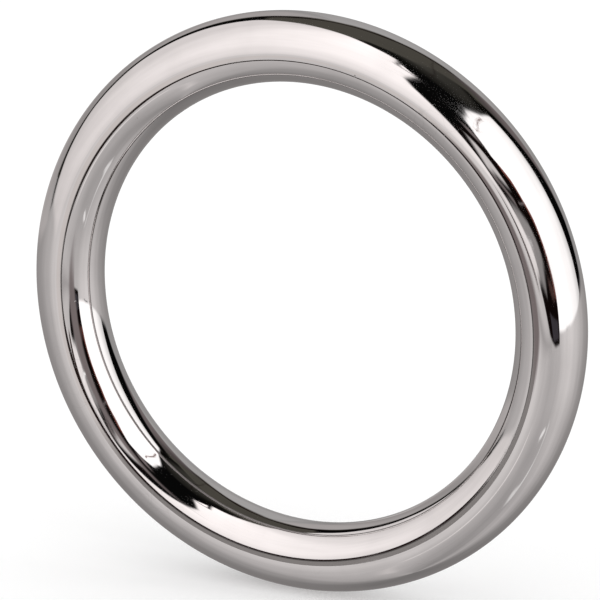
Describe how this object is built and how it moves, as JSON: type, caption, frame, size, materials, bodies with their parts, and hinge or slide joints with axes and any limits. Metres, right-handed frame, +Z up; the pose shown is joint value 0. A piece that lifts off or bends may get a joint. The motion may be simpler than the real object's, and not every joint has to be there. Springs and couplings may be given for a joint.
{
  "type": "puzzle ring",
  "caption": "Closed round ring of mirror-polished round steel bar, the loose ring of a disentanglement puzzle, through whose eye cords, loops and other links are threaded.",
  "frame": {"origin": "centre of the eye, which is also the centre of the ring's volume", "axes": "+Z up with the ring standing on its edge or hanging from the top of its eye; the ring's own axis runs along Y, and -Y points out of the face that a viewer in front looks at; X runs across the ring"},
  "size_m": [0.068, 0.008, 0.068],
  "materials": {
    "polished_steel": "mirror-polished stainless steel, bare metal"
  },
  "bodies": {
    "root": {"ring": "polished_steel"}
  },
  "joints": []
}
